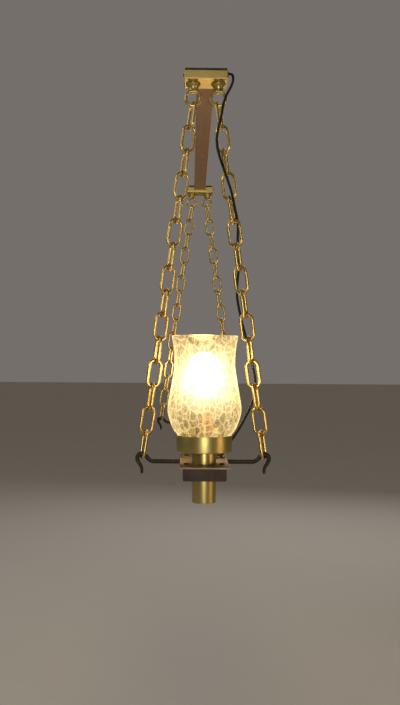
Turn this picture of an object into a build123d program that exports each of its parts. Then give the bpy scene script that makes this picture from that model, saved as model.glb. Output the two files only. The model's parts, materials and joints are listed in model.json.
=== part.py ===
from build123d import *
import math
import os

# Long hanging light with seven lamps in a row: two brass ceiling blocks joined by a timber bar,
# four link chains, two hooked crossbars, and a beam that carries the lamps.
# Millimetres. The origin is the middle of the ceiling face, +Y runs along the beam, +Z is up.

# Lamps and hangers
lamp_count = 7
lamp_pitch = 176.0
hanger_spacing = 5 * lamp_pitch
beam_overhang = 58.0

# Ceiling blocks and bar
block_width = 68.0
block_depth = 50.0
block_height = 13.0
block_wall = 2.5
backplate_thickness = 4.0
backplate_inset = 1.0
bar_width = 28.5
bar_height = 12.0
bar_dowel_radius = 2.5
bar_dowel_length = 17.0
bar_dowel_grip = 10.0
bar_dowel_spacing = 16.0
ceiling_hole_radius = 2.5
ceiling_hole_spacing = 30.0
wire_entry_radius = 4.0
wire_entry_y = 9.0
side_screw_radius = 1.5
side_screw_head_radius = 2.6
side_screw_head_height = 1.6
side_screw_margin = 1.2
side_screw_y = -12.0
ear_thickness = 2.0
ear_width = 8.0

# Eyes under the blocks
eye_spacing = 40.0
eye_wire_radius = 2.5
eye_mean_radius = 11.5
eye_shank_radius = 3.0
eye_drop = 24.0
cup_top_radius = 11.5
cup_waist_radius = 7.4
cup_foot_radius = 8.0
cup_height = 14.0
cup_rim_height = 1.6
cup_foot_height = 2.0
cup_waist_share = 0.34
cup_shoulder = (1.6, 3.4)
eye_nut_height = 4.0
eye_nut_flats = 10.0
shank_below_ceiling = 0.5
terminal_width = 15.0
terminal_depth = 11.0
terminal_height = 7.5
terminal_round = 1.0
terminal_bore_radius = 1.8
terminal_bore_depth = 5.0
terminal_bore_offset = 3.6

# Chains
link_count = 15
link_length = 47.28
link_width = 24.0
link_wire_radius = 2.4
link_gap = 0.2
seat_gap = 0.15
chain_roll = 21.0

# Crossbars
rod_radius = 3.5
crest_spacing = 191.2
crest_rise = 11.8
rise_start = -12.2
crest_start = -3.6
crest_end = 6.4
hook_back = (9.2, -10.0)
hook_throat = (-0.4, -22.5)
hook_tip = (1.0, -29.0)
rise_bend = 9.0
hook_bend = 5.2
throat_bend = 3.4
tip_round = 1.2

# Beam
plate_width = 72.0
plate_thickness = 2.0
channel_width = 62.0
channel_height = 17.2
channel_wall = 1.5
lip_gap = 1.0
channel_corner = 2.5
rod_below_plate = 2.4
end_cap_thickness = 1.5
plate_screw_radius = 2.0
plate_screw_head_radius = 4.0
plate_screw_head_height = 2.2
plate_screw_length = 9.0
plate_screw_spacing = 52.0
end_screw_offset = 17.0
hook_screw_offset = 14.0

# Lamps
tube_radius = 17.5
tube_wall = 1.5
tube_above_plate = 17.4
tube_below_beam = 38.4
tube_cap_thickness = 3.0
tube_cap_inset = 0.6
rod_nipple_radius = 5.0
rod_nipple_bore = 3.0
rod_nipple_grip = 8.0
gallery_radius = 41.0
gallery_wall = 1.2
gallery_floor = 2.0
gallery_height = 24.0
glass_wall = 3.0
glass_seat_radius = 39.2
glass_seat_depth = 20.0
glass_belly_radius = 54.5
glass_belly_height = 36.0
glass_waist_radius = 44.6
glass_waist_height = 108.0
glass_rim_radius = 49.0
glass_rim_height = 146.0
sleeve_radius = 14.0
sleeve_wall = 1.2
sleeve_height = 79.0
holder_radius = 12.2
holder_height = 54.0
holder_base_height = 22.0
socket_bore_radius = 7.3
socket_depth = 26.0
bulb_cap_radius = 7.0
bulb_cap_tip = (2.0, 3.0)
bulb_collar = (1.0, 3.0)
bulb_cap_length = 24.0
bulb_neck_radius = 11.0
bulb_radius = 24.0
bulb_height = 68.0
lock_nut_flats = 17.0
lock_nut_height = 4.0

# Supply cable and wiring
cable_radius = 2.0
bend_share = 0.45
gland_radius = 3.4
gland_length = 1.4
gland_taper = 12.0
gland_skin = 1.0
gland_y = -19.0
gland_below_backplate = 3.5
cable_laid_drop = 595.94
grommet_radius = 5.0
grommet_bore = 2.6
grommet_flange_radius = 7.0
grommet_flange_height = 1.5
grommet_x = 27.0
grommet_offset = -17.0
beam_lead_radius = 2.0
beam_lead_x = 24.0

# Clearances
sliding_gap = 0.1
shaft_gap = 0.05
glass_gap = 0.3
face_gap = 0.2
edge_round = 0.8

# Heights and places that follow from the sizes above
hanger_y = hanger_spacing / 2
block_bottom = -backplate_thickness - block_height
eye_centre_z = block_bottom - eye_drop
eye_wire_z = eye_centre_z - eye_mean_radius
link_pitch = link_length - 4 * link_wire_radius - link_gap
chain_length = (link_count * link_pitch + link_gap
                - eye_wire_radius - rod_radius - 2 * seat_gap)
chain_spread = (crest_spacing - eye_spacing) / 2
crest_z = eye_wire_z - math.sqrt(chain_length ** 2 - chain_spread ** 2)
chain_lean = math.degrees(math.asin(chain_spread / chain_length))
rod_z = crest_z - crest_rise
plate_bottom = rod_z + rod_radius + rod_below_plate
plate_top = plate_bottom + plate_thickness
channel_bottom = plate_bottom - channel_height
channel_lip = channel_width / 2 - channel_wall - tube_radius - lip_gap
lamp_span = (lamp_count - 1) * lamp_pitch
beam_length = lamp_span + 2 * beam_overhang
lamp_places = [(number - (lamp_count - 1) / 2) * lamp_pitch for number in range(lamp_count)]
tube_top = plate_top + tube_above_plate
tube_bottom = channel_bottom - tube_below_beam
gallery_floor_top = tube_top + gallery_floor
gallery_top = tube_top + gallery_height
glass_bottom = gallery_top - glass_seat_depth
sleeve_top = gallery_floor_top + sleeve_height
holder_bottom = gallery_floor_top + holder_base_height
holder_top = holder_bottom + holder_height
bulb_bottom = holder_top - bulb_cap_length
bulb_top = holder_top + bulb_height
cap_bottom = tube_bottom + tube_cap_inset
cap_top = cap_bottom + tube_cap_thickness
nipple_top = holder_bottom + rod_nipple_grip
gland_z = -backplate_thickness - gland_below_backplate
gland_face = block_width / 2 + gland_length
grommet_y = grommet_offset - hanger_y
cable_stretch = (gland_z - crest_z) / cable_laid_drop
dowel_z = -(backplate_thickness + bar_height) / 2
dowel_xs = (-bar_dowel_spacing / 2, bar_dowel_spacing / 2)
side_screw_z = -backplate_thickness - side_screw_head_radius - side_screw_margin
ear_height = 2 * (side_screw_head_radius + side_screw_margin)
screw_places_y = [lamp_places[0] - end_screw_offset, -hanger_y + hook_screw_offset,
                  -1.5 * lamp_pitch, -0.5 * lamp_pitch]
screw_places = [(side * plate_screw_spacing / 2, end * y)
                for side in (-1, 1) for end in (-1, 1) for y in screw_places_y]

os.makedirs("parts", exist_ok=True)


def save(built, name):
    built.part.label = name
    export_step(built.part, f"parts/{name}.step")


def upright(y):
    """The vertical plane across the beam at that place, with its own x along +X and y along +Z."""
    return Plane(origin=(0, y, 0), x_dir=(1, 0, 0), z_dir=(0, -1, 0))


def turned(y, outline):
    """A solid turned about the vertical line at (0, y), from its outline of radius and height."""
    with BuildPart() as made:
        with BuildSketch(upright(y)):
            with BuildLine():
                Polyline(*outline, close=True)
            make_face()
        revolve(axis=Axis((0, y, 0), (0, 0, 1)))
    return made


def tubes(places, outer, inner, low, high):
    """The same upright tube at each place, as separate solids."""
    with BuildPart() as made:
        with BuildSketch(Plane.XY.offset(low)):
            with Locations(*places):
                Circle(outer)
                Circle(inner, mode=Mode.SUBTRACT)
        extrude(amount=high - low)
    return made


def nuts(places, flats, bore, low, height):
    """The same hexagon nut at each place, as separate solids."""
    with BuildPart() as made:
        with BuildSketch(Plane.XY.offset(low)):
            with Locations(*places):
                RegularPolygon(flats / 2, 6, major_radius=False)
                Circle(bore, mode=Mode.SUBTRACT)
        extrude(amount=height)
    return made


# Ceiling blocks, backplates, eyes

ends = {"front": -1, "rear": 1}
sides = {"left": -1, "right": 1}


def backplate(y):
    width = block_width - 2 * backplate_inset
    depth = block_depth - 2 * backplate_inset
    ear_x = block_width / 2 - block_wall - face_gap - ear_thickness / 2
    with BuildPart() as made:
        with BuildSketch(Plane.XY.offset(-backplate_thickness)):
            with Locations((0, y)):
                Rectangle(width, depth)
            with Locations((0, y - ceiling_hole_spacing / 2), (0, y + ceiling_hole_spacing / 2)):
                Circle(ceiling_hole_radius, mode=Mode.SUBTRACT)
            with Locations((-eye_spacing / 2, y), (eye_spacing / 2, y)):
                Circle(eye_shank_radius + shaft_gap, mode=Mode.SUBTRACT)
            if y < 0:
                with Locations((eye_spacing / 4, y + wire_entry_y)):
                    Circle(wire_entry_radius, mode=Mode.SUBTRACT)
        extrude(amount=backplate_thickness)
        with Locations(*[(side * ear_x, y + side_screw_y, -backplate_thickness)
                         for side in sides.values()]):
            Box(ear_thickness, ear_width, ear_height,
                align=(Align.CENTER, Align.CENTER, Align.MAX))
        with BuildSketch(Plane.YZ):
            with Locations((y + side_screw_y, side_screw_z)):
                Circle(side_screw_radius)
        extrude(amount=block_width / 2, both=True, mode=Mode.SUBTRACT)
    return made


def block(y):
    """A hollow brass block, open at the top, that hangs under its backplate."""
    middle = -backplate_thickness - block_height / 2
    inner_width = block_width - 2 * block_wall
    inner_depth = block_depth - 2 * block_wall
    with BuildPart() as made:
        with Locations((0, y, middle)):
            Box(block_width, block_depth, block_height)
        fillet(made.edges().filter_by(Axis.Z), edge_round)
        fillet(made.faces().sort_by(Axis.Z)[0].edges(), edge_round)
        with Locations((0, y, -backplate_thickness)):
            Box(inner_width, inner_depth, block_height - block_wall,
                align=(Align.CENTER, Align.CENTER, Align.MAX), mode=Mode.SUBTRACT)
        with BuildSketch(Plane.XY.offset(block_bottom)):
            with Locations((-eye_spacing / 2, y), (eye_spacing / 2, y)):
                Circle(eye_shank_radius + shaft_gap)
        extrude(amount=block_wall, mode=Mode.SUBTRACT)
        with BuildSketch(Plane.YZ):
            with Locations((y + side_screw_y, side_screw_z)):
                Circle(side_screw_radius + shaft_gap)
        extrude(amount=block_width / 2, both=True, mode=Mode.SUBTRACT)
        if y < 0:
            with BuildSketch(Plane.YZ.offset(inner_width / 2)):
                with Locations((y + gland_y, gland_z)):
                    Circle(cable_radius + gland_skin)
            extrude(amount=block_wall, mode=Mode.SUBTRACT)
        bar_face = -math.copysign(block_depth / 2, y) + y
        with BuildSketch(Plane.XZ.offset(-bar_face)):
            with Locations(*[(x, dowel_z) for x in dowel_xs]):
                Circle(bar_dowel_radius + shaft_gap)
        extrude(amount=math.copysign(block_wall, -y), mode=Mode.SUBTRACT)
    return made


for end, sign in ends.items():
    save(backplate(sign * hanger_y), f"{end}_backplate")
    save(block(sign * hanger_y), f"{end}_ceiling_block")

bar_length = hanger_spacing - block_depth
with BuildPart() as ceiling_bar:
    with Locations((0, 0, -bar_height / 2)):
        Box(bar_width, bar_length, bar_height)
    fillet(ceiling_bar.faces().sort_by(Axis.Z)[0].edges().filter_by(Axis.Y), edge_round)
    for sign in ends.values():
        with BuildSketch(Plane.XZ.offset(-sign * bar_length / 2)):
            with Locations(*[(x, dowel_z) for x in dowel_xs]):
                Circle(bar_dowel_radius + shaft_gap)
        extrude(amount=sign * (bar_dowel_grip + face_gap), mode=Mode.SUBTRACT)
save(ceiling_bar, "ceiling_bar")

with BuildPart() as bar_dowels:
    with Locations(*[(x, sign * (bar_length / 2 - bar_dowel_grip + bar_dowel_length / 2), dowel_z)
                     for x in dowel_xs for sign in ends.values()]):
        Cylinder(bar_dowel_radius, bar_dowel_length, rotation=(90, 0, 0))
save(bar_dowels, "bar_dowels")

with BuildPart() as side_screws:
    with Locations(*[Location((side * block_width / 2, sign * hanger_y + side_screw_y,
                               side_screw_z), (0, 90 * side, 0))
                     for side in sides.values() for sign in ends.values()]):
        Cylinder(side_screw_head_radius, side_screw_head_height,
                 align=(Align.CENTER, Align.CENTER, Align.MIN))
        Cylinder(side_screw_radius, block_wall + face_gap + ear_thickness,
                 align=(Align.CENTER, Align.CENTER, Align.MAX))
save(side_screws, "side_screws")


def eye(x, y):
    """A closed ring on a threaded shank that screws up into the backplate."""
    shank_low = eye_centre_z + eye_mean_radius
    with BuildPart() as made:
        with Locations((x, y, eye_centre_z)):
            Torus(eye_mean_radius, eye_wire_radius, rotation=(90, 0, 0))
        with BuildSketch(Plane.XY.offset(shank_low)):
            with Locations((x, y)):
                Circle(eye_shank_radius)
        extrude(amount=-shank_below_ceiling - shank_low)
    return made


def eye_cup(x, y):
    """A turned bell that covers the joint of the eye and the block."""
    foot = block_bottom - cup_height
    waist_z = foot + cup_height * cup_waist_share
    rim_x, rim_z = x + cup_top_radius, block_bottom - cup_rim_height
    foot_x, step_z = x + cup_foot_radius, foot + cup_foot_height
    with BuildPart() as made:
        with BuildSketch(upright(y)):
            with BuildLine():
                Line((x, block_bottom), (rim_x, block_bottom))
                Line((rim_x, block_bottom), (rim_x, rim_z))
                Spline((rim_x, rim_z),
                       (x + cup_waist_radius + cup_shoulder[0], waist_z + cup_shoulder[1]),
                       (x + cup_waist_radius, waist_z),
                       tangents=[(-0.35, -1), (-0.1, -1)])
                Line((x + cup_waist_radius, waist_z), (foot_x, step_z))
                Line((foot_x, step_z), (foot_x, foot))
                Line((foot_x, foot), (x, foot))
                Line((x, foot), (x, block_bottom))
            make_face()
        revolve(axis=Axis((x, y, 0), (0, 0, 1)))
        with Locations((x, y, block_bottom)):
            Cylinder(eye_shank_radius + shaft_gap, 2 * cup_height, mode=Mode.SUBTRACT)
        with Locations((x, y, eye_centre_z)):
            Torus(eye_mean_radius, eye_wire_radius + face_gap, rotation=(90, 0, 0),
                  mode=Mode.SUBTRACT)
    return made


eye_places = []
for end, sign in ends.items():
    for side, hand in sides.items():
        place = (hand * eye_spacing / 2, sign * hanger_y)
        eye_places.append(place)
        save(eye(*place), f"{end}_{side}_eye")
        save(eye_cup(*place), f"{end}_{side}_eye_cup")

eye_nuts = nuts(eye_places, eye_nut_flats, eye_shank_radius + shaft_gap,
                -backplate_thickness - eye_nut_height, eye_nut_height)
save(eye_nuts, "eye_nuts")

with BuildPart() as terminal_block:
    with Locations((0, -hanger_y, -backplate_thickness)):
        Box(terminal_width, terminal_depth, terminal_height,
            align=(Align.CENTER, Align.CENTER, Align.MAX))
    fillet(terminal_block.edges().filter_by(Axis.Z), terminal_round)
    with BuildSketch(Plane.XY.offset(-backplate_thickness - terminal_height)):
        with Locations((-terminal_bore_offset, -hanger_y), (terminal_bore_offset, -hanger_y)):
            Circle(terminal_bore_radius)
    extrude(amount=terminal_bore_depth, mode=Mode.SUBTRACT)
save(terminal_block, "terminal_block")

# The gland is a soft bush in the front block's right side, where the cable comes out
with BuildPart() as cable_gland:
    with BuildSketch(Plane.YZ.offset(block_width / 2 - block_wall)):
        with Locations((-hanger_y + gland_y, gland_z)):
            Circle(cable_radius + gland_skin - shaft_gap)
    extrude(amount=block_wall)
    with BuildSketch(Plane.YZ.offset(block_width / 2)):
        with Locations((-hanger_y + gland_y, gland_z)):
            Circle(gland_radius)
    extrude(amount=gland_length, taper=gland_taper)
save(cable_gland, "cable_gland")


# Chains: each link is two straight legs and two half rings

link_bend = link_width / 2 - link_wire_radius
link_straight = link_length - link_width
with BuildPart() as link:
    for side in sides.values():
        with Locations((side * link_bend, 0, 0)):
            Cylinder(link_wire_radius, link_straight)
    for end in ends.values():
        with BuildSketch(Plane.XY.offset(end * link_straight / 2)):
            with Locations((link_bend, 0)):
                Circle(link_wire_radius)
        revolve(axis=Axis((0, 0, end * link_straight / 2), (0, 1, 0)),
                revolution_arc=-180 * end)


def chain(hand, y):
    """The links from an eye down to a crossbar's hook, every second one turned a quarter round."""
    first = link_length / 2 - 2 * link_wire_radius - eye_wire_radius - seat_gap
    lean = math.radians(chain_lean)
    places = []
    for number in range(link_count):
        along = first + number * link_pitch
        centre = (hand * (eye_spacing / 2 + along * math.sin(lean)), y,
                  eye_wire_z - along * math.cos(lean))
        hang = Location(centre, (0, -hand * chain_lean, 0))
        turn = -hand * chain_roll + (90 if number % 2 == 0 else 0)
        places.append(hang * Location((0, 0, 0), (0, 0, turn)))
    with BuildPart() as made:
        with Locations(*places):
            add(link.part)
    return made


for end, sign in ends.items():
    for side, hand in sides.items():
        save(chain(hand, sign * hanger_y), f"{end}_{side}_chain")


# Crossbars: one bent rod each, with a hook at both ends

def half_rod():
    """The rod's centreline from the middle out to the tip of its right hook, as (x, z)."""
    crest = crest_spacing / 2
    hook = [(crest + x, crest_z + z) for x, z in (hook_back, hook_throat, hook_tip)]
    return [(crest + rise_start, rod_z), (crest + crest_start, crest_z),
            (crest + crest_end, crest_z)] + hook


def crossbar(y):
    right = half_rod()
    left = [(-x, z) for x, z in reversed(right)]
    bends = [rise_bend, hook_bend, hook_bend, hook_bend, throat_bend]
    with BuildPart() as made:
        with BuildLine(upright(y)) as path:
            FilletPolyline(*(left + right), radius=bends[::-1] + bends)
        with BuildSketch(Plane(origin=path.line @ 0, z_dir=path.line % 0)):
            Circle(rod_radius)
        sweep(path=path.line)
        fillet(made.edges().filter_by(GeomType.CIRCLE).group_by(Axis.Z)[0], tip_round)
    return made


for end, sign in ends.items():
    save(crossbar(sign * hanger_y), f"{end}_crossbar")


# Beam: a folded channel, closed by a wider plate on top and a cap at each end

channel_length = beam_length - 2 * end_cap_thickness
with BuildPart() as beam_channel:
    with BuildSketch(upright(channel_length / 2)):
        with BuildLine():
            half = channel_width / 2
            FilletPolyline((-half, plate_bottom), (-half, channel_bottom),
                           (half, channel_bottom), (half, plate_bottom), radius=channel_corner)
            Line((half, plate_bottom), (-half, plate_bottom))
        make_face()
        with Locations((0, (plate_bottom + channel_bottom) / 2)):
            Rectangle(channel_width - 2 * channel_wall, channel_height - 2 * channel_wall,
                      mode=Mode.SUBTRACT)
        with Locations((0, plate_bottom - channel_wall / 2)):
            Rectangle(channel_width - 2 * channel_wall - 2 * channel_lip, channel_wall,
                      mode=Mode.SUBTRACT)
    extrude(amount=channel_length)
    with BuildSketch(Plane.XY.offset(channel_bottom)):
        with Locations(*[(0, y) for y in lamp_places]):
            Circle(tube_radius + sliding_gap)
    extrude(amount=channel_wall, mode=Mode.SUBTRACT)
    with BuildSketch(Plane.XY.offset(plate_bottom - channel_wall)):
        with Locations(*screw_places):
            Circle(plate_screw_radius)
        with Locations((grommet_x, grommet_y)):
            Circle(grommet_radius + shaft_gap)
    extrude(amount=channel_wall, mode=Mode.SUBTRACT)
    with BuildSketch(Plane.YZ):
        with Locations((-hanger_y, rod_z), (hanger_y, rod_z)):
            Circle(rod_radius + shaft_gap)
    extrude(amount=channel_width, both=True, mode=Mode.SUBTRACT)
save(beam_channel, "beam_channel")

with BuildPart() as beam_plate:
    with BuildSketch(Plane.XY.offset(plate_bottom)):
        Rectangle(plate_width, beam_length)
        with Locations(*[(0, y) for y in lamp_places]):
            Circle(tube_radius + sliding_gap, mode=Mode.SUBTRACT)
        with Locations(*screw_places):
            Circle(plate_screw_radius + sliding_gap, mode=Mode.SUBTRACT)
        with Locations((grommet_x, grommet_y)):
            Circle(grommet_radius + shaft_gap, mode=Mode.SUBTRACT)
    extrude(amount=plate_thickness)
save(beam_plate, "beam_plate")

for end, sign in ends.items():
    with BuildPart() as end_cap:
        with BuildSketch(upright(sign * channel_length / 2)):
            with Locations((0, (plate_bottom + channel_bottom) / 2)):
                Rectangle(channel_width, channel_height)
        extrude(amount=-sign * end_cap_thickness)
        fillet(end_cap.edges().filter_by(Axis.Y).group_by(Axis.Z)[0], channel_corner)
    save(end_cap, f"{end}_end_cap")

with BuildPart() as plate_screws:
    with Locations(*[(x, y, plate_top) for x, y in screw_places]):
        Cylinder(plate_screw_radius, plate_screw_length,
                 align=(Align.CENTER, Align.CENTER, Align.MAX))
        Cylinder(plate_screw_head_radius, plate_screw_head_height,
                 align=(Align.CENTER, Align.CENTER, Align.MIN))
save(plate_screws, "plate_screws")

with BuildPart() as beam_grommet:
    with BuildSketch(Plane.XY.offset(plate_bottom - channel_wall)):
        with Locations((grommet_x, grommet_y)):
            Circle(grommet_radius)
            Circle(grommet_bore, mode=Mode.SUBTRACT)
    extrude(amount=channel_wall + plate_thickness)
    with BuildSketch(Plane.XY.offset(plate_top)):
        with Locations((grommet_x, grommet_y)):
            Circle(grommet_flange_radius)
            Circle(grommet_bore, mode=Mode.SUBTRACT)
    extrude(amount=grommet_flange_height)
save(beam_grommet, "beam_grommet")

with BuildPart() as beam_lead:
    lead_z = channel_bottom + channel_wall + beam_lead_radius + face_gap
    lead_length = lamp_places[-1] - grommet_y
    with Locations((beam_lead_x, grommet_y + lead_length / 2, lead_z)):
        Cylinder(beam_lead_radius, lead_length, rotation=(90, 0, 0))
save(beam_lead, "beam_lead")


# Lamps: everything that repeats on the seven places

lamp_centres = [(0, y) for y in lamp_places]
save(tubes(lamp_centres, tube_radius, tube_radius - tube_wall, tube_bottom, tube_top), "lamp_tubes")
save(tubes(lamp_centres, tube_radius - tube_wall - shaft_gap, rod_nipple_radius + shaft_gap,
           cap_bottom, cap_top), "tube_caps")
save(tubes(lamp_centres, rod_nipple_radius, rod_nipple_bore, cap_bottom, nipple_top),
     "threaded_nipples")
save(nuts(lamp_centres, lock_nut_flats, rod_nipple_radius + shaft_gap, cap_top, lock_nut_height),
     "lower_lock_nuts")
save(nuts(lamp_centres, lock_nut_flats, rod_nipple_radius + shaft_gap, gallery_floor_top,
          lock_nut_height), "upper_lock_nuts")
save(tubes(lamp_centres, sleeve_radius, sleeve_radius - sleeve_wall, gallery_floor_top,
           sleeve_top), "candle_sleeves")

with BuildPart() as lampholders:
    with BuildSketch(Plane.XY.offset(holder_bottom)):
        with Locations(*lamp_centres):
            Circle(holder_radius)
    extrude(amount=holder_height)
    with BuildSketch(Plane.XY.offset(holder_bottom)):
        with Locations(*lamp_centres):
            Circle(rod_nipple_radius + shaft_gap)
    extrude(amount=nipple_top - holder_bottom + face_gap, mode=Mode.SUBTRACT)
    with BuildSketch(Plane.XY.offset(holder_top)):
        with Locations(*lamp_centres):
            Circle(socket_bore_radius)
    extrude(amount=-socket_depth, mode=Mode.SUBTRACT)
save(lampholders, "lampholders")


def gallery(y):
    """The round brass cup that the glass stands in."""
    with BuildPart() as made:
        with Locations((0, y, tube_top)):
            Cylinder(gallery_radius, gallery_height, align=(Align.CENTER, Align.CENTER, Align.MIN))
        fillet(made.edges().group_by(Axis.Z)[0], edge_round)
        with Locations((0, y, gallery_floor_top)):
            Cylinder(gallery_radius - gallery_wall, gallery_height,
                     align=(Align.CENTER, Align.CENTER, Align.MIN), mode=Mode.SUBTRACT)
        with Locations((0, y, tube_top)):
            Cylinder(rod_nipple_radius + shaft_gap, 4 * gallery_floor, mode=Mode.SUBTRACT)
    return made


def glass_outline(inset):
    """Points of the glass's wall as (radius, height), from the seat to the rim."""
    return [(glass_seat_radius - inset, gallery_top),
            (glass_belly_radius - inset, gallery_top + glass_belly_height),
            (glass_waist_radius - inset, gallery_top + glass_waist_height),
            (glass_rim_radius - inset, gallery_top + glass_rim_height)]


def shade(y):
    """A hurricane glass: a straight foot, a round belly, a waist and a flared rim."""
    outer = glass_outline(0)
    inner = glass_outline(glass_wall)
    directions = [(0.5, 1), (0, 1), (0, 1), (0.35, 1)]
    with BuildPart() as made:
        with BuildSketch(upright(y)):
            with BuildLine():
                Line((outer[0][0], glass_bottom), outer[0])
                Spline(*outer, tangents=directions)
                Line(outer[-1], inner[-1])
                Spline(*inner, tangents=directions)
                Line(inner[0], (inner[0][0], glass_bottom))
                Line((inner[0][0], glass_bottom), (outer[0][0], glass_bottom))
            make_face()
        revolve(axis=Axis((0, y, 0), (0, 0, 1)))
    return made


def bulb(y):
    """A round bulb: a thread cap, a neck and a ball of glass."""
    ball_z = bulb_top - bulb_radius
    with BuildPart() as made:
        with BuildSketch(upright(y)):
            with BuildLine():
                Polyline((0, bulb_bottom), (bulb_cap_radius - bulb_cap_tip[0], bulb_bottom),
                         (bulb_cap_radius, bulb_bottom + bulb_cap_tip[1]),
                         (bulb_cap_radius, holder_top + bulb_collar[0]),
                         (bulb_neck_radius, holder_top + bulb_collar[1]))
                Spline((bulb_neck_radius, holder_top + bulb_collar[1]), (bulb_radius, ball_z),
                       tangents=[(0.15, 1), (0, 1)])
                RadiusArc((bulb_radius, ball_z), (0, bulb_top), -bulb_radius)
                Line((0, bulb_top), (0, bulb_bottom))
            make_face()
        revolve(axis=Axis((0, y, 0), (0, 0, 1)))
    return made


for number, y in enumerate(lamp_places, 1):
    save(gallery(y), f"lamp_{number}_gallery")
    save(shade(y), f"lamp_{number}_shade")
    save(bulb(y), f"lamp_{number}_bulb")


# Supply cable: out of the gland, down through the front right chain and into the grommet.
# Each bend is given beside the front hanger, for a drop of cable_laid_drop from gland to crossbar.

cable_bends = [
    (39.9, -19.2, -7.6), (42.3, -19, -11), (42.4, -18.3, -16.4), (41, -17.1, -22.6),
    (37.6, -14.9, -29.6), (32.9, -11.3, -36.7), (28.9, -11.2, -47.3), (26.4, -12.1, -58.5),
    (24.9, -14.2, -69.9), (22.4, -14.3, -81.7), (19.4, -12.9, -93.8), (17.4, -10.7, -106.3),
    (18.2, -10.6, -119.7), (21.5, -11.8, -133.3), (25.7, -14.1, -146.7), (30.4, -14.4, -159.8),
    (35.4, -12.4, -172.9), (40.2, -10, -186.3), (43.9, -6.8, -200), (47.1, -2.6, -214.4),
    (51.1, 1.8, -228.7), (53.3, 6, -244.8), (52.5, 11.7, -261.9), (54.2, 14.7, -277.8),
    (55.4, 14.9, -293.2), (55, 13.1, -308.2), (53.4, 11.1, -323), (52.1, 9, -337.9),
    (51.9, 7.9, -352.8), (54.1, 7.5, -367.1), (57.1, 8, -380.8), (60, 8.6, -394.4),
    (63.9, 9.6, -407.9), (67.7, 11.2, -421.5), (70.8, 13.1, -435.5), (74.2, 13.5, -449.1),
    (77.5, 12.7, -462.3), (80.9, 11.7, -475.6), (82.7, 13.3, -489.5), (82.8, 14, -503.5),
    (80.1, 12.8, -516.6), (74.9, 8.8, -529.3), (68, 4.7, -542.2), (61, 0.3, -555.5),
    (53.3, -4.1, -567.9), (44.4, -8.7, -579.9), (34.9, -13.3, -592.2)]
cable_route = (
    [(gland_face + face_gap, gland_y - hanger_y, gland_z)]
    + [(x, y - hanger_y, gland_z + (z - gland_z) * cable_stretch) for x, y, z in cable_bends]
    + [(grommet_x, grommet_y, plate_top + grommet_flange_height + face_gap)])


def bend_radii(points):
    """The largest tangent arc at each corner that leaves its two runs room."""
    radii = []
    for before, corner, after in zip(points, points[1:], points[2:]):
        arriving = Vector(*corner) - Vector(*before)
        leaving = Vector(*after) - Vector(*corner)
        half_turn = math.radians(arriving.get_angle(leaving)) / 2
        radii.append(bend_share * min(arriving.length, leaving.length) / math.tan(half_turn))
    return radii


cable_radii = bend_radii(cable_route)
print("cable bend radii", [round(radius, 1) for radius in cable_radii])
with BuildPart() as supply_cable:
    with BuildLine() as cable_path:
        FilletPolyline(*cable_route, radius=cable_radii)
    with BuildSketch(Plane(origin=cable_path.line @ 0, z_dir=cable_path.line % 0)):
        Circle(cable_radius)
    sweep(path=cable_path.line)
cable_length = sum(edge.length for edge in cable_path.edges())
print("cable length", round(cable_length, 1), "volume over section times length",
      round(supply_cable.part.volume / (math.pi * cable_radius ** 2 * cable_length), 4))
save(supply_cable, "supply_cable")
print("crest", round(crest_z, 2), "plate top", round(plate_top, 2), "lowest", round(tube_bottom, 2),
      "lean", round(chain_lean, 3), "beam length", beam_length, "lamp tube top", round(tube_top, 2))
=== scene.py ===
import json
import math

import bmesh
import bpy
from mathutils import Matrix, Vector


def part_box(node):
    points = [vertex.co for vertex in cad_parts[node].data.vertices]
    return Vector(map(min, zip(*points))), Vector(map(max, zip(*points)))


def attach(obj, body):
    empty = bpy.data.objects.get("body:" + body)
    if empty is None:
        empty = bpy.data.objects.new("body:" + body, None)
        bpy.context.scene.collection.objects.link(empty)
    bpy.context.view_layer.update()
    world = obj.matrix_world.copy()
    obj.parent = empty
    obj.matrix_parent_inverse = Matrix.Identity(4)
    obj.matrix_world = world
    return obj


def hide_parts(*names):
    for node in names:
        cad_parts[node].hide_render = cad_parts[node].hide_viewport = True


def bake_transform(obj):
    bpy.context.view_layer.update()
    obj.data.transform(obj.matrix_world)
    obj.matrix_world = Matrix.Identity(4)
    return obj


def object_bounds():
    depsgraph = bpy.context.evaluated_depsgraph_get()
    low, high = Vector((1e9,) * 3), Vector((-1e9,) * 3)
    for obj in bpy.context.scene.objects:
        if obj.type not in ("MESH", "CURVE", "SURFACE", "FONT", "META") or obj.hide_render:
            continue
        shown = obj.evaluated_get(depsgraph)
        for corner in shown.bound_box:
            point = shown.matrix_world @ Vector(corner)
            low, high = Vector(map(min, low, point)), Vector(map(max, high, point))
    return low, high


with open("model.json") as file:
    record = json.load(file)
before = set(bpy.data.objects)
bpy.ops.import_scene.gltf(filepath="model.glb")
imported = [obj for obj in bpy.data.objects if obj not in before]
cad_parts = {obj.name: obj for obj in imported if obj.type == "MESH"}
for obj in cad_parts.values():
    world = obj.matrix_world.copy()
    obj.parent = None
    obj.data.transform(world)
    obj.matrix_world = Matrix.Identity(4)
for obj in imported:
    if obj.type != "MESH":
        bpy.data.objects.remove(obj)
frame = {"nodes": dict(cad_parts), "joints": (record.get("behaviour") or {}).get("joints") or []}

cadBox = [list(corner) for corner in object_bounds()]
print("frame loaded", len(frame["nodes"]), "nodes")

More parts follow.
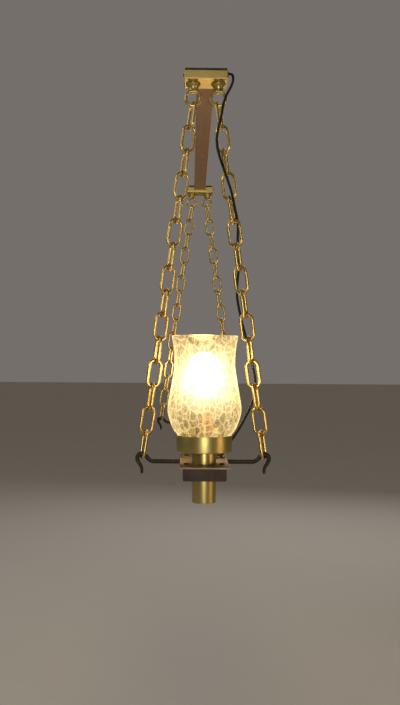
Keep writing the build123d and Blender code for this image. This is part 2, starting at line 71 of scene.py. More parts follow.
# Places that the pieces take from the frame
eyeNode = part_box("front_right_eye")
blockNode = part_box("front_ceiling_block")
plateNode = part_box("beam_plate")
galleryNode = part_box("lamp_1_gallery")
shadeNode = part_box("lamp_1_shade")
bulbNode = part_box("lamp_1_bulb")
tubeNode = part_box("lamp_tubes")
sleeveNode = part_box("candle_sleeves")
lampCount = sum(1 for name in frame["nodes"] if name.endswith("_gallery"))
lampYs = [sum(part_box(f"lamp_{n}_gallery")[k][1] for k in (0, 1)) / 2 for n in range(1, lampCount + 1)]
hangerY = (blockNode[0][1] + blockNode[1][1]) / 2
eyeX = (eyeNode[0][0] + eyeNode[1][0]) / 2
joints = {joint["name"]: joint for joint in frame["joints"]}
eyeWireZ = joints["front_swing"]["pos_m"][2]
crestZ = joints["beam_level"]["pos_m"][2]


def toScene(thing):
    bpy.context.scene.collection.objects.link(thing)


# Shader groups shared by the materials

def openGroup(name, kind, inputs, outputs):
    group = bpy.data.node_groups.new(name, kind)
    for label, sort, value in inputs:
        socket = group.interface.new_socket(name=label, in_out="INPUT",
                                            socket_type="NodeSocket" + sort)
        if value is not None:
            socket.default_value = value
    for label, sort in outputs:
        group.interface.new_socket(name=label, in_out="OUTPUT", socket_type="NodeSocket" + sort)
    ends = [group.nodes.new(end) for end in ("NodeGroupInput", "NodeGroupOutput")]
    return group, group.links.new, *ends


def nodeGroup(name, inputs, outputs):
    return openGroup(name, "ShaderNodeTree", inputs, outputs)


def add(tree, kind, values=None, **settings):
    node = tree.nodes.new("ShaderNode" + kind)
    for key, value in settings.items():
        setattr(node, key, value)
    for key, value in (values or {}).items():
        node.inputs[key].default_value = value
    return node


def math2(tree, operation, first, second=None, clamp=False):
    node = add(tree, "Math", operation=operation, use_clamp=clamp)
    for index, value in enumerate((first, second)):
        if value is None:
            continue
        if hasattr(value, "default_value") and hasattr(value, "is_output"):
            tree.links.new(value, node.inputs[index])
        else:
            node.inputs[index].default_value = value
    return node.outputs[0]


def times(tree, first, second, clamp=False):
    return math2(tree, "MULTIPLY", first, second, clamp)


def plus(tree, first, second, clamp=False):
    return math2(tree, "ADD", first, second, clamp)


def minus(tree, first, second, clamp=False):
    return math2(tree, "SUBTRACT", first, second, clamp)


def makeWearGroup():
    # a mask of bright rubbed edges, broken up by noise
    group, link, into, out = nodeGroup("edgeWear", [
        ("Vector", "Vector", None), ("Width", "Float", 0.06),
        ("Noise Scale", "Float", 60.0)], [("Mask", "Float")])
    geometry = add(group, "NewGeometry")
    noise = add(group, "TexNoise", {"Detail": 4.0})
    link(into.outputs["Vector"], noise.inputs["Vector"])
    link(into.outputs["Noise Scale"], noise.inputs["Scale"])
    ridge = minus(group, geometry.outputs["Pointiness"], 0.5)
    sharp = math2(group, "DIVIDE", ridge, into.outputs["Width"], clamp=True)
    broken = times(group, sharp, noise.outputs["Fac"], clamp=True)
    link(broken, out.inputs["Mask"])
    return group


def makePatinaGroup():
    # slow cloudy tarnish plus small specks
    group, link, into, out = nodeGroup("patina", [
        ("Vector", "Vector", None), ("Cloud Scale", "Float", 14.0),
        ("Speck Scale", "Float", 420.0), ("Amount", "Float", 0.6)],
        [("Mask", "Float"), ("Specks", "Float")])
    cloud = add(group, "TexNoise", {"Detail": 5.0, "Roughness": 0.6})
    speck = add(group, "TexNoise", {"Detail": 2.0})
    for node, key in ((cloud, "Cloud Scale"), (speck, "Speck Scale")):
        link(into.outputs["Vector"], node.inputs["Vector"])
        link(into.outputs[key], node.inputs["Scale"])
    ramp = add(group, "MapRange", {"From Min": 0.38, "From Max": 0.68})
    link(cloud.outputs["Fac"], ramp.inputs["Value"])
    link(times(group, ramp.outputs["Result"], into.outputs["Amount"]), out.inputs["Mask"])
    link(speck.outputs["Fac"], out.inputs["Specks"])
    return group


def makeBrushGroup():
    # fine straight streaks: the vector is stretched along the axis that the caller makes small
    group, link, into, out = nodeGroup("brushed", [
        ("Vector", "Vector", None), ("Stretch", "Vector", (1.0, 1.0, 40.0)),
        ("Scale", "Float", 40.0)], [("Streaks", "Float")])
    scaled = add(group, "VectorMath", operation="MULTIPLY")
    noise = add(group, "TexNoise", {"Detail": 3.0, "Roughness": 0.7})
    link(into.outputs["Vector"], scaled.inputs[0])
    link(into.outputs["Stretch"], scaled.inputs[1])
    link(scaled.outputs[0], noise.inputs["Vector"])
    link(into.outputs["Scale"], noise.inputs["Scale"])
    link(noise.outputs["Fac"], out.inputs["Streaks"])
    return group


crackleShape = {"wander": 70.0, "wanderReach": 0.006, "tall": (1.0, 1.0, 0.72), "sizes": (1.0, 2.1),
                "flakeHeight": 0.35, "fineDepth": 0.5}


def makeCrackleGroup():
    # two sizes of crazing: wandering crack lines and the flat flakes between them
    group, link, into, out = nodeGroup("crackle", [
        ("Vector", "Vector", None), ("Scale", "Float", 95.0),
        ("Line Width", "Float", 0.05)],
        [("Lines", "Float"), ("Fine Lines", "Float"),
         ("Flakes", "Float"), ("Height", "Float")])
    wander = add(group, "TexNoise", {"Scale": crackleShape["wander"], "Detail": 3.0})
    bend = add(group, "VectorMath", {"Scale": crackleShape["wanderReach"]},
               operation="SCALE")
    moved = add(group, "VectorMath", operation="ADD")
    tall = add(group, "VectorMath", {1: crackleShape["tall"]}, operation="MULTIPLY")
    link(into.outputs["Vector"], wander.inputs["Vector"])
    link(wander.outputs["Color"], bend.inputs[0])
    link(into.outputs["Vector"], moved.inputs[0])
    link(bend.outputs[0], moved.inputs[1])
    link(moved.outputs[0], tall.inputs[0])
    made = []
    for factor in crackleShape["sizes"]:
        size = times(group, into.outputs["Scale"], factor)
        cells = add(group, "TexVoronoi", feature="DISTANCE_TO_EDGE")
        link(tall.outputs[0], cells.inputs["Vector"])
        link(size, cells.inputs["Scale"])
        line = add(group, "MapRange", {"From Min": 0.0, "To Min": 1.0, "To Max": 0.0})
        link(into.outputs["Line Width"], line.inputs["From Max"])
        link(cells.outputs["Distance"], line.inputs["Value"])
        made.append(line.outputs["Result"])
    flakes = add(group, "TexVoronoi", feature="F1")
    link(tall.outputs[0], flakes.inputs["Vector"])
    link(into.outputs["Scale"], flakes.inputs["Scale"])
    tone = add(group, "SeparateColor")
    link(flakes.outputs["Color"], tone.inputs[0])
    raised = times(group, tone.outputs[0], crackleShape["flakeHeight"])
    cracks = plus(group, made[0], times(group, made[1], crackleShape["fineDepth"]))
    height = minus(group, raised, cracks)
    link(made[0], out.inputs["Lines"])
    link(made[1], out.inputs["Fine Lines"])
    link(tone.outputs[0], out.inputs["Flakes"])
    link(height, out.inputs["Height"])
    return group


wearGroup = makeWearGroup()
patinaGroup = makePatinaGroup()
brushGroup = makeBrushGroup()
crackleGroup = makeCrackleGroup()
print("shader groups made")


# Materials

def startMaterial(name):
    material = bpy.data.materials.new(name)
    material.use_nodes = True
    tree = material.node_tree
    tree.nodes.clear()
    output = add(tree, "OutputMaterial")
    shader = add(tree, "BsdfPrincipled")
    tree.links.new(shader.outputs[0], output.inputs["Surface"])
    where = add(tree, "TexCoord")
    return material, tree, tree.links.new, shader, where.outputs["Object"]


def useGroup(tree, group, vector, values):
    node = add(tree, "Group", node_tree=group)
    for key, value in values.items():
        node.inputs[key].default_value = value
    tree.links.new(vector, node.inputs["Vector"])
    return node


def mixColour(tree, factor, first, second):
    mix = add(tree, "Mix", data_type="RGBA")
    tree.links.new(factor, mix.inputs[0])
    for index, colour in ((6, first), (7, second)):
        if isinstance(colour, tuple):
            mix.inputs[index].default_value = (*colour, 1)
        else:
            tree.links.new(colour, mix.inputs[index])
    return mix.outputs[2]


def rangeOf(tree, value, low, high):
    node = add(tree, "MapRange", {"To Min": low, "To Max": high})
    tree.links.new(value, node.inputs["Value"])
    return node.outputs["Result"]


def bump(tree, shader, height, strength, distance):
    node = add(tree, "Bump", {"Strength": strength, "Distance": distance})
    tree.links.new(height, node.inputs["Height"])
    tree.links.new(node.outputs[0], shader.inputs["Normal"])


metalLook = {"streakScale": 30.0, "tarnishRough": 0.16, "speckShare": 0.5, "bump": 0.35}


def metal(name, bright, dull, worn, rough, stretch, patina, wearWidth, bumpDepth, metallic=1.0):
    # a metal or paint with tarnish, streaks and rubbed edges; patina is its cloud scale and amount
    material, tree, link, shader, vector = startMaterial(name)
    tarnish = useGroup(tree, patinaGroup, vector, {"Cloud Scale": patina[0], "Amount": patina[1]})
    brushed = useGroup(tree, brushGroup, vector, {"Stretch": stretch,
                                                  "Scale": metalLook["streakScale"]})
    wear = useGroup(tree, wearGroup, vector, {"Width": wearWidth})
    body = mixColour(tree, tarnish.outputs["Mask"], bright, dull)
    edged = mixColour(tree, wear.outputs["Mask"], body, worn)
    link(edged, shader.inputs["Base Color"])
    streaked = rangeOf(tree, brushed.outputs["Streaks"], rough[0], rough[1])
    cloudy = times(tree, tarnish.outputs["Mask"], metalLook["tarnishRough"])
    link(plus(tree, streaked, cloudy), shader.inputs["Roughness"])
    shader.inputs["Metallic"].default_value = metallic
    together = plus(tree, brushed.outputs["Streaks"],
                    times(tree, tarnish.outputs["Specks"], metalLook["speckShare"]))
    bump(tree, shader, together, metalLook["bump"], bumpDepth)
    return material


# name, bright, dull and worn colour, roughness from and to, streaks along each axis,
# scale and amount of the tarnish, width of the rubbed edges, depth of the relief, metallic
metalLooks = (
    ("turnedBrass", (0.52, 0.42, 0.15), (0.31, 0.22, 0.065), (0.78, 0.64, 0.30),
     (0.26, 0.40), (1.0, 1.0, 60.0), (16.0, 0.45), 0.16, 0.00003),
    ("blockBrass", (0.60, 0.42, 0.11), (0.40, 0.26, 0.06), (0.84, 0.66, 0.30),
     (0.24, 0.38), (1.0, 50.0, 1.0), (22.0, 0.45), 0.16, 0.00003),
    ("chainBrass", (0.74, 0.53, 0.18), (0.52, 0.33, 0.09), (0.88, 0.68, 0.28),
     (0.18, 0.26), (1.0, 1.0, 1.0), (24.0, 0.45), 0.35, 0.00001),
    ("darkIron", (0.020, 0.018, 0.017), (0.042, 0.030, 0.022), (0.16, 0.12, 0.09),
     (0.42, 0.60), (6.0, 6.0, 6.0), (45.0, 0.8), 0.14, 0.00016, 0.6),
    ("zincSteel", (0.50, 0.50, 0.52), (0.36, 0.34, 0.31), (0.74, 0.74, 0.74),
     (0.26, 0.40), (4.0, 4.0, 4.0), (60.0, 0.5), 0.14, 0.00005),
    ("copperSleeve", (0.42, 0.15, 0.035), (0.22, 0.075, 0.02), (0.64, 0.32, 0.12),
     (0.30, 0.44), (1.0, 1.0, 40.0), (30.0, 0.6), 0.14, 0.00004),
    ("plateBronze", (0.16, 0.090, 0.045), (0.10, 0.058, 0.032), (0.36, 0.27, 0.18),
     (0.36, 0.52), (1.0, 0.08, 1.0), (12.0, 0.7), 0.12, 0.00005, 0.6),
    ("beamBrown", (0.026, 0.011, 0.009), (0.015, 0.008, 0.007), (0.075, 0.040, 0.028),
     (0.42, 0.58), (1.0, 0.10, 1.0), (18.0, 0.7), 0.12, 0.00006, 0.0),
    ("blackSteel", (0.010, 0.009, 0.009), (0.022, 0.019, 0.016), (0.08, 0.07, 0.06),
     (0.5, 0.65), (5.0, 5.0, 5.0), (40.0, 0.6), 0.14, 0.00006, 0.2),
)
(turnedBrass, blockBrass, chainBrass, darkIron, zincSteel, copperSleeve, plateBronze,
 beamBrown, blackSteel) = (metal(*look) for look in metalLooks)
beamBrown.node_tree.nodes["Principled BSDF"].inputs["Specular IOR Level"].default_value = 0.28


def makePlastic(name, colours, rough, scales, bumps, specular=0.5):
    # a dull moulded skin with dust in its grain
    material, tree, link, shader, vector = startMaterial(name)
    grain = useGroup(tree, patinaGroup, vector, {"Cloud Scale": scales[0], "Speck Scale": scales[1]})
    link(mixColour(tree, grain.outputs["Mask"], *colours), shader.inputs["Base Color"])
    link(rangeOf(tree, grain.outputs["Specks"], *rough), shader.inputs["Roughness"])
    shader.inputs["Specular IOR Level"].default_value = specular
    bump(tree, shader, grain.outputs["Specks"], *bumps)
    return material


blackPlastic = makePlastic("blackPlastic", ((0.016, 0.016, 0.017), (0.0352, 0.0352, 0.0369)),
                           (0.40, 0.58), (50.0, 900.0), (0.3, 0.00006))
holderPlastic = makePlastic("holderPlastic", ((0.028, 0.026, 0.025), (0.0556, 0.0522, 0.0505)),
                            (0.34, 0.52), (50.0, 900.0), (0.3, 0.00006))
cableSheath = makePlastic("cableSheath", ((0.006, 0.006, 0.006), (0.020, 0.018, 0.016)),
                          (0.42, 0.62), (28.0, 700.0), (0.4, 0.0001), specular=0.25)

timberLook = {"squeeze": (1.0, 0.045, 1.0), "rings": 90.0, "wander": 0.8, "pores": 620.0,
              "poreRange": (0.58, 0.72), "poreTone": (0.045, 0.020, 0.010), "wearWidth": 0.1,
              "wornTone": (0.33, 0.20, 0.11), "rough": (0.30, 0.52), "specular": 0.3,
              "bump": (0.3, 0.00012),
              "stops": ((0.30, (0.095, 0.033, 0.008)), (0.50, (0.235, 0.092, 0.024)),
                        (0.62, (0.170, 0.063, 0.016)), (0.78, (0.300, 0.130, 0.040)))}


def makeTimber():
    # straight brown grain that runs along the bar, with darker pores
    look = timberLook
    material, tree, link, shader, vector = startMaterial("walnutBar")
    squeeze = add(tree, "VectorMath", {1: look["squeeze"]}, operation="MULTIPLY")
    link(vector, squeeze.inputs[0])
    rings = add(tree, "TexNoise", {"Scale": look["rings"], "Detail": 6.0,
                                             "Distortion": look["wander"]})
    pores = add(tree, "TexNoise", {"Scale": look["pores"], "Detail": 3.0})
    for node in (rings, pores):
        link(squeeze.outputs[0], node.inputs["Vector"])
    tone = add(tree, "ValToRGB")
    stops = look["stops"]
    elements = tone.color_ramp.elements
    elements[0].position, elements[1].position = stops[0][0], stops[-1][0]
    for position, colour in stops[1:-1]:
        elements.new(position)
    for element, (position, colour) in zip(elements, stops):
        element.color = (*colour, 1)
    link(rings.outputs["Fac"], tone.inputs[0])
    low, high = look["poreRange"]
    poreMask = add(tree, "MapRange", {"From Min": low, "From Max": high})
    link(pores.outputs["Fac"], poreMask.inputs["Value"])
    poreMask = poreMask.outputs["Result"]
    wear = useGroup(tree, wearGroup, vector, {"Width": look["wearWidth"]})
    stained = mixColour(tree, poreMask, tone.outputs["Color"], look["poreTone"])
    link(mixColour(tree, wear.outputs["Mask"], stained, look["wornTone"]),
         shader.inputs["Base Color"])
    link(rangeOf(tree, rings.outputs["Fac"], *look["rough"]), shader.inputs["Roughness"])
    bump(tree, shader, minus(tree, rings.outputs["Fac"], poreMask), *look["bump"])
    shader.inputs["Specular IOR Level"].default_value = look["specular"]
    return material


walnutBar = makeTimber()


# where and how strongly the glass shows its painted glow, plus its surface
glassLook = {"glowZ": (bulbNode[0][2] + bulbNode[1][2]) / 2 + 0.008, "glowReach": 0.040,
             "crackleScale": 108.0, "lineWidth": 0.10, "lineGlow": 0.95, "flakeGlow": 0.36,
             "veilGlow": 0.09, "heartGlow": 1.1, "edgeGlow": 0.45, "wallsSeen": 2.4,
             "fineShare": 0.45, "facing": 0.35, "aheadPower": 3.0, "edgePower": 2.5,
             "flakePower": 3.0, "farShare": 0.5, "glow": ((1.0, 0.72, 0.29), (1.0, 0.90, 0.62)),
             "hotShare": 0.8, "tint": ((0.98, 0.95, 0.86), (0.86, 0.74, 0.50)),
             "rough": (0.02, 0.16), "ior": 1.12, "bump": (0.10, 0.0004)}


def makeGlass():
    # clear glass full of crazing; its emission is painted glow that stands in for the warm light of the
    # bulb inside, brightest at the bulb's height, on walls facing the camera, in the crack lines and
    # flakes, and at edges seen side-on
    look = glassLook
    material, tree, link, shader, vector = startMaterial("crackleGlass")
    crazing = useGroup(tree, crackleGroup, vector, {"Scale": look["crackleScale"],
                                                    "Line Width": look["lineWidth"]})
    lines = plus(tree, crazing.outputs["Lines"],
                 times(tree, crazing.outputs["Fine Lines"], look["fineShare"]), clamp=True)
    split = add(tree, "SeparateXYZ")
    link(vector, split.inputs[0])
    # painted glow: a band round the bulb's height, brightest on walls that face the camera
    offset = minus(tree, split.outputs["Z"], look["glowZ"])
    ratio = math2(tree, "DIVIDE", offset, look["glowReach"])
    near = math2(tree, "POWER", math.e, times(tree, times(tree, ratio, ratio), -1.0))
    away = add(tree, "LayerWeight", {"Blend": look["facing"]}).outputs["Facing"]
    ahead = math2(tree, "POWER", minus(tree, 1.0, away), look["aheadPower"])
    paintedHeartGlow = times(tree, times(tree, near, ahead), look["heartGlow"])
    # painted edge glow where the walls turn side-on to the camera
    rim = times(tree, math2(tree, "POWER", away, look["edgePower"]), look["edgeGlow"])
    wide = plus(tree, look["farShare"], times(tree, near, 1 - look["farShare"]))
    # painted glow in the crack lines and flakes, over a thin painted veil of glow
    paintedCrazeGlow = times(tree, lines, look["lineGlow"])
    paintedFlakeGlow = times(tree, math2(tree, "POWER", crazing.outputs["Flakes"], look["flakePower"]),
                  look["flakeGlow"])
    paintedVeilGlow = times(tree, plus(tree, plus(tree, paintedCrazeGlow, paintedFlakeGlow), look["veilGlow"]), wide)
    # the painted glow of walls further back along the row adds less and less
    passed = add(tree, "LightPath").outputs["Transmission Depth"]
    fade = minus(tree, 1.0, math2(tree, "DIVIDE", passed, look["wallsSeen"]), clamp=True)
    link(times(tree, fade, plus(tree, plus(tree, paintedVeilGlow, rim), paintedHeartGlow)),
         shader.inputs["Emission Strength"])
    # painted hot spot: the glow colour turns whiter near the bulb
    paintedHotSpot = times(tree, paintedHeartGlow, look["hotShare"], clamp=True)
    link(mixColour(tree, paintedHotSpot, *look["glow"]), shader.inputs["Emission Color"])
    link(mixColour(tree, lines, *look["tint"]), shader.inputs["Base Color"])
    link(rangeOf(tree, lines, *look["rough"]), shader.inputs["Roughness"])
    shader.inputs["Transmission Weight"].default_value = 1.0
    shader.inputs["IOR"].default_value = look["ior"]
    bump(tree, shader, crazing.outputs["Height"], *look["bump"])
    return material


crackleGlass = makeGlass()


bulbLook = {"glow": ((1.0, 0.80, 0.52), (1.0, 0.70, 0.38)), "strength": 9.0,
            "white": (0.95, 0.92, 0.86), "rough": (0.15, 0.3), "cloud": (40.0, 0.4)}


def makeBulbGlass():
    # a lit opal ball, its warmth a little uneven
    material, tree, link, shader, vector = startMaterial("litBulb")
    cloud = useGroup(tree, patinaGroup, vector, {"Cloud Scale": bulbLook["cloud"][0],
                                                 "Amount": bulbLook["cloud"][1]})
    link(mixColour(tree, cloud.outputs["Mask"], *bulbLook["glow"]), shader.inputs["Emission Color"])
    shader.inputs["Emission Strength"].default_value = bulbLook["strength"]
    shader.inputs["Base Color"].default_value = (*bulbLook["white"], 1)
    link(rangeOf(tree, cloud.outputs["Specks"], *bulbLook["rough"]), shader.inputs["Roughness"])
    return material


litBulb = makeBulbGlass()
print("materials made")


# Meshes made point by point

onAxis = 1e-6


def finishPiece(name, mesh, material, body, replaced=(), sharpAngle=35):
    mesh.polygons.foreach_set("use_smooth", [True] * len(mesh.polygons))
    mesh.set_sharp_from_angle(angle=math.radians(sharpAngle))
    mesh.materials.clear()
    mesh.materials.append(material)
    piece = bpy.data.objects.new(name, mesh)
    toScene(piece)
    if replaced:
        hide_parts(*replaced)
    if body:
        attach(piece, body)
    return piece


def meshOf(made, name):
    # turns the faces outward and hands over the plain mesh
    bmesh.ops.recalc_face_normals(made, faces=made.faces)
    mesh = bpy.data.meshes.new(name)
    made.to_mesh(mesh)
    made.free()
    return mesh


def circle(count):
    # the cosine and sine of evenly spaced angles
    return [(math.cos(2 * math.pi * k / count), math.sin(2 * math.pi * k / count))
            for k in range(count)]


def joinRings(made, low, high):
    # faces between two rings of as many points
    for k in range(len(low)):
        n = (k + 1) % len(low)
        made.faces.new((low[k], low[n], high[n], high[k]))


def softened(outline, radius, steps=4):
    # rounds the corners of an outline of (r, z) points; radius may be one number or one per point
    radii = radius if isinstance(radius, (list, tuple)) else [radius] * len(outline)
    made = [outline[0]]
    for index in range(1, len(outline) - 1):
        before, corner, after = (Vector(outline[index + k]) for k in (-1, 0, 1))
        inward, onward = (before - corner), (after - corner)
        reach = min(radii[index], inward.length * 0.45, onward.length * 0.45)
        if reach < onAxis:
            made.append(tuple(corner))
            continue
        start, end = corner + inward.normalized() * reach, corner + onward.normalized() * reach
        for step in range(steps + 1):
            t = step / steps
            made.append(tuple((1 - t) ** 2 * start + 2 * t * (1 - t) * corner + t * t * end))
    made.append(outline[-1])
    return made


def smoothOutline(points, steps=8):
    # a smooth curve through outline points
    made = []
    for index in range(len(points) - 1):
        p0 = Vector(points[max(index - 1, 0)])
        p1, p2 = Vector(points[index]), Vector(points[index + 1])
        p3 = Vector(points[min(index + 2, len(points) - 1)])
        for step in range(steps):
            t = step / steps
            made.append(tuple(0.5 * ((2 * p1) + (p2 - p0) * t
                                     + (2 * p0 - 5 * p1 + 4 * p2 - p3) * t * t
                                     + (3 * p1 - p0 - 3 * p2 + p3) * t ** 3)))
    made.append(tuple(points[-1]))
    return made


def turnedMesh(name, outline, centres, closed, segments=72):
    # turns an outline of (r, z) points about the vertical line at each centre
    made = bmesh.new()
    for x, y in centres:
        rings = []
        for radius, z in outline:
            if radius < onAxis:
                rings.append([made.verts.new((x, y, z))])
            else:
                rings.append([made.verts.new((x + radius * c, y + radius * s, z))
                              for c, s in circle(segments)])
        pairs = list(zip(rings, rings[1:]))
        if closed:
            pairs.append((rings[-1], rings[0]))
        for low, high in pairs:
            if len(low) == len(high):
                if len(low) > 1:
                    joinRings(made, low, high)
                continue
            for k in range(segments):
                n = (k + 1) % segments
                if len(low) == 1:
                    made.faces.new((low[0], high[n], high[k]))
                else:
                    made.faces.new((low[k], low[n], high[0]))
    return meshOf(made, name)


def nurbsPath(points, resolution=10):
    # the smooth line of a route, read back from a NURBS spline
    curve = bpy.data.curves.new("route", "CURVE")
    curve.dimensions = "3D"
    curve.resolution_u = resolution
    spline = curve.splines.new("NURBS")
    spline.points.add(len(points) - 1)
    for point, spot in zip(spline.points, points):
        point.co = (*spot, 1)
    spline.order_u = 3
    spline.use_endpoint_u = True
    holder = bpy.data.objects.new("route", curve)
    mesh = bpy.data.meshes.new_from_object(holder)
    line = [vertex.co.copy() for vertex in mesh.vertices]
    bpy.data.objects.remove(holder)
    bpy.data.meshes.remove(mesh)
    bpy.data.curves.remove(curve)
    return line


def sweptMesh(name, line, radiusAt, segments=16, domed=0):
    # a round tube along a line, its ends closed flat or with a dome of that many rings
    made = bmesh.new()
    side = Vector((0, 1, 0))
    rings = []
    lengths = [0.0]
    for first, second in zip(line, line[1:]):
        lengths.append(lengths[-1] + (second - first).length)
    last = len(line) - 1
    for index, centre in enumerate(line):
        along = (line[min(index + 1, last)] - line[max(index - 1, 0)]).normalized()
        radius = radiusAt(lengths[index] / lengths[-1])
        for k in range(-domed if index == 0 else 0, (domed if index == last else 0) + 1):
            angle = math.pi / 2 * k / (domed + 0.5)
            side = (side - along * side.dot(along)).normalized()
            other = along.cross(side)
            middle = centre + along * radius * math.sin(angle)
            rings.append([made.verts.new(middle + radius * math.cos(angle) * (c * side + s * other))
                          for c, s in circle(segments)])
    for low, high in zip(rings, rings[1:]):
        joinRings(made, low, high)
    made.faces.new(list(reversed(rings[0])))
    made.faces.new(rings[-1])
    return meshOf(made, name)


# Geometry nodes for what repeats

def geometryTree(name, inputs):
    return openGroup(name, "GeometryNodeTree", inputs, [("Geometry", "Geometry")])


def grow(name, tree, values):
    # runs a tree on an empty mesh and returns the plain mesh that it makes
    holder = bpy.data.objects.new(name, bpy.data.meshes.new(name))
    toScene(holder)
    modifier = holder.modifiers.new(name, "NODES")
    modifier.node_group = tree
    for item in tree.interface.items_tree:
        if item.in_out == "INPUT" and item.name in values:
            modifier[item.identifier] = values[item.name]
    made = bpy.data.meshes.new_from_object(
        holder.evaluated_get(bpy.context.evaluated_depsgraph_get()))
    made.name = name
    holder.modifiers.remove(modifier)
    bpy.data.objects.remove(holder)
    return made


def combine(tree, axis, value):
    node = tree.nodes.new("ShaderNodeCombineXYZ")
    tree.links.new(value, node.inputs[axis])
    return node.outputs[0]


def randomValue(tree, low, high, seed):
    node = tree.nodes.new("FunctionNodeRandomValue")
    node.data_type = "FLOAT"
    for socket in node.inputs:
        if socket.type == "VALUE" and socket.name in ("Min", "Max"):
            socket.default_value = low if socket.name == "Min" else high
    tree.links.new(seed, node.inputs["Seed"])
    return next(s for s in node.outputs if s.type == "VALUE" and s.enabled)


def paintAndEnd(tree, geometry, material, out):
    painted = tree.nodes.new("GeometryNodeSetMaterial")
    tree.links.new(geometry, painted.inputs["Geometry"])
    tree.links.new(material, painted.inputs["Material"])
    tree.links.new(painted.outputs[0], out.inputs[0])
    return tree


linkLook = {"bendPoints": 9, "pointsRound": 56, "wirePoints": 14, "bendShare": 0.499,
            "weldAt": 0.315, "weldReach": 0.016, "weldSwell": 0.10, "drift": 0.05}


def makeChainTree():
    # a row of welded links, every second one a quarter turn round
    tree, link, into, out = geometryTree("linkChain", [
        ("Count", "Int", 15), ("Link Length", "Float", 0.0457),
        ("Link Width", "Float", 0.024), ("Wire Radius", "Float", 0.002),
        ("First", "Float", 0.016), ("Pitch", "Float", 0.0375),
        ("Lean", "Float", 0.0), ("Roll", "Float", 0.3),
        ("Hang Point", "Vector", None),
        ("Seed", "Int", 3), ("Material", "Material", None)])
    node = tree.nodes.new
    across = minus(tree, into.outputs["Link Width"],
                   times(tree, into.outputs["Wire Radius"], 2.0))
    tall = minus(tree, into.outputs["Link Length"],
                 times(tree, into.outputs["Wire Radius"], 2.0))
    frameCurve = node("GeometryNodeCurvePrimitiveQuadrilateral")
    link(across, frameCurve.inputs["Width"])
    link(tall, frameCurve.inputs["Height"])
    bends = node("GeometryNodeFilletCurve")
    bends.mode = "POLY"
    bends.inputs["Count"].default_value = linkLook["bendPoints"]
    link(frameCurve.outputs[0], bends.inputs["Curve"])
    link(times(tree, across, linkLook["bendShare"]), bends.inputs["Radius"])
    finer = node("GeometryNodeResampleCurve")
    finer.mode = "COUNT"
    finer.inputs["Count"].default_value = linkLook["pointsRound"]
    link(bends.outputs[0], finer.inputs["Curve"])
    along = node("GeometryNodeSplineParameter")
    gap = math2(tree, "ABSOLUTE", minus(tree, along.outputs["Factor"], linkLook["weldAt"]))
    weld = minus(tree, 1.0, math2(tree, "DIVIDE", gap, linkLook["weldReach"]), clamp=True)
    thickness = plus(tree, 1.0, times(tree, weld, linkLook["weldSwell"]))
    profile = node("GeometryNodeCurvePrimitiveCircle")
    profile.inputs["Resolution"].default_value = linkLook["wirePoints"]
    link(into.outputs["Wire Radius"], profile.inputs["Radius"])
    wire = node("GeometryNodeCurveToMesh")
    link(finer.outputs[0], wire.inputs["Curve"])
    link(profile.outputs[0], wire.inputs["Profile Curve"])
    link(thickness, wire.inputs["Scale"])
    upright = node("GeometryNodeTransform")
    upright.inputs["Rotation"].default_value = (math.pi / 2, 0, 0)
    link(wire.outputs[0], upright.inputs["Geometry"])
    line = node("GeometryNodeMeshLine")
    line.mode = "OFFSET"
    start = combine(tree, "Z", times(tree, into.outputs["First"], -1.0))
    step = combine(tree, "Z", times(tree, into.outputs["Pitch"], -1.0))
    link(into.outputs["Count"], line.inputs["Count"])
    link(start, line.inputs["Start Location"])
    link(step, line.inputs["Offset"])
    index = node("GeometryNodeInputIndex")
    even = minus(tree, 1.0, math2(tree, "MODULO", index.outputs[0], 2.0))
    drift = randomValue(tree, -linkLook["drift"], linkLook["drift"], into.outputs["Seed"])
    rolled = plus(tree, into.outputs["Roll"], drift)
    turn = combine(tree, "Z", plus(tree, times(tree, even, math.pi / 2), rolled))
    copies = node("GeometryNodeInstanceOnPoints")
    link(line.outputs[0], copies.inputs["Points"])
    link(upright.outputs[0], copies.inputs["Instance"])
    link(turn, copies.inputs["Rotation"])
    real = node("GeometryNodeRealizeInstances")
    link(copies.outputs[0], real.inputs[0])
    hung = node("GeometryNodeTransform")
    link(real.outputs[0], hung.inputs["Geometry"])
    link(combine(tree, "Y", into.outputs["Lean"]), hung.inputs["Rotation"])
    link(into.outputs["Hang Point"], hung.inputs["Translation"])
    return paintAndEnd(tree, hung.outputs[0], into.outputs["Material"], out)


chainSizes = {"linkLength": 0.04728, "linkWidth": 0.024, "wireRadius": 0.0024,
              "eyeWire": 0.0025, "seatGap": 0.00015, "linkGap": 0.0002, "count": 15,
              "eyeSpacing": 2 * eyeX, "crestSpacing": 0.1912,
              "roll": math.radians(21), "firstSeed": 3}
chainTree = makeChainTree()


def makeChains():
    pitch = chainSizes["linkLength"] - 4 * chainSizes["wireRadius"] - chainSizes["linkGap"]
    spread = (chainSizes["crestSpacing"] - chainSizes["eyeSpacing"]) / 2
    lean = math.atan2(spread, eyeWireZ - crestZ)
    first = (chainSizes["linkLength"] / 2 - 2 * chainSizes["wireRadius"]
             - chainSizes["eyeWire"] - chainSizes["seatGap"])
    seed = chainSizes["firstSeed"]
    for end, y in (("front", hangerY), ("rear", -hangerY)):
        for side, hand in (("left", -1), ("right", 1)):
            mesh = grow(f"{end}_{side}_links", chainTree, {
                "Count": chainSizes["count"], "Link Length": chainSizes["linkLength"],
                "Link Width": chainSizes["linkWidth"], "Wire Radius": chainSizes["wireRadius"],
                "First": first, "Pitch": pitch, "Lean": -hand * lean,
                "Roll": -hand * chainSizes["roll"],
                "Hang Point": (hand * eyeX, y, eyeWireZ), "Seed": seed,
                "Material": chainBrass})
            finishPiece(f"{end}_{side}_links", mesh, chainBrass, f"{end}_chains",
                        [f"{end}_{side}_chain"], sharpAngle=60)
            seed += 1


makeChains()
print("chains made")


